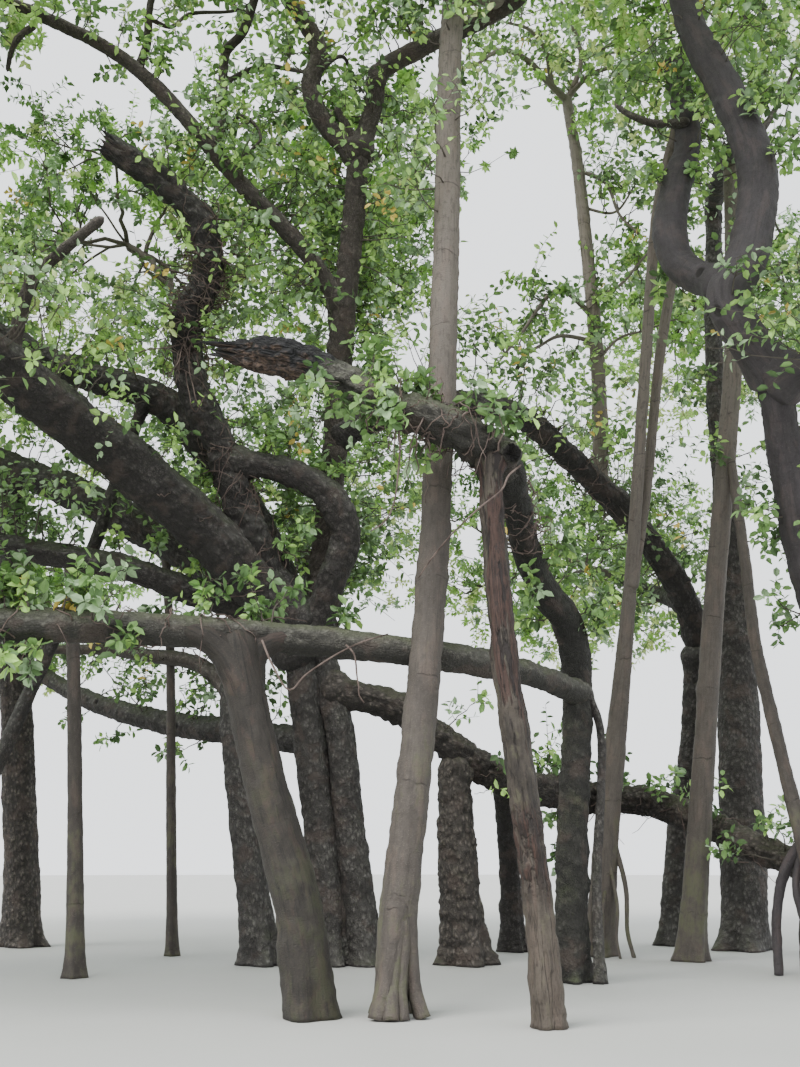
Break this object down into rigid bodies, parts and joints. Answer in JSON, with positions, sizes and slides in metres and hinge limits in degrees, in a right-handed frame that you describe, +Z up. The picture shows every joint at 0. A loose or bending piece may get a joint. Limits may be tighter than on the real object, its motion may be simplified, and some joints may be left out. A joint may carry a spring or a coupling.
{
  "type": "banyan tree",
  "caption": "Old banyan tree on its own prop roots, with a fused trunk, spreading boughs, pole-like props and a full broad-leaved canopy.",
  "frame": {"origin": "ground level under the main trunk", "axes": "+Z up, +X to the viewer's right, +Y away from the viewer"},
  "size_m": [28.8704, 23.4983, 19.422],
  "materials": {
    "dark_bark": "pebbled dark grey-brown bark with green algae on its upper sides",
    "pale_bark": "smooth pinkish-tan bark of younger prop roots, with ring marks",
    "rough_bark": "peeling red-brown and tan bark",
    "charred_bark": "blackened, cracked wood",
    "foliage": "leathery mid-green leaves, some lime, a few yellow"
  },
  "bodies": {
    "root": {"arch_bough": "charred_bark", "arch_leg": "dark_bark", "back_bough": "dark_bark", "back_left_bough": "dark_bark", "back_left_mass": "foliage", "back_mass": "foliage", "back_pillar": "dark_bark", "back_right_bough": "dark_bark", "back_right_mass": "foliage", "broad_pillar": "dark_bark", "broken_bough": "dark_bark", "cross_bough": "dark_bark", "crown_back_bough": "dark_bark", "crown_back_mass": "foliage", "dark_left_bough": "dark_bark", "diagonal_pole": "dark_bark", "edge_pillar": "rough_bark", "far_left_bough": "dark_bark", "far_left_mass": "foliage", "front_right_mass": "foliage", "front_top_mass": "foliage", "great_bough": "dark_bark", "great_mass": "foliage", "grey_pole": "pale_bark", "high_left_bough": "dark_bark", "high_right_bough": "dark_bark", "high_stem": "dark_bark", "hook_bough": "dark_bark", "leaning_pillar": "rough_bark", "left_back_mass": "foliage", "left_pole": "pale_bark", "left_side_mass": "foliage", "left_stem": "dark_bark", "level_bough": "dark_bark", "low_bough": "dark_bark", "lower_left_bough": "dark_bark", "lower_left_mass": "foliage", "middle_left_bough": "dark_bark", "middle_left_mass": "foliage", "pebbled_pillar": "rough_bark", "peeling_pillar": "rough_bark", "right_back_bough": "dark_bark", "right_back_mass": "foliage", "right_front_mass": "foliage", "right_inner_bough": "dark_bark", "right_outer_bough": "dark_bark", "right_side_bough": "dark_bark", "right_side_mass": "foliage", "right_top_mass": "foliage", "right_trunk": "dark_bark", "rising_left_bough": "dark_bark", "short_pillar": "dark_bark", "slanting_pole": "dark_bark", "slim_pole": "dark_bark", "tall_pale_pole": "pale_bark", "thin_pole": "pale_bark", "trunk": "dark_bark", "twin_pole_left": "pale_bark", "twin_pole_right": "pale_bark", "winding_bough": "dark_bark"}
  },
  "joints": []
}
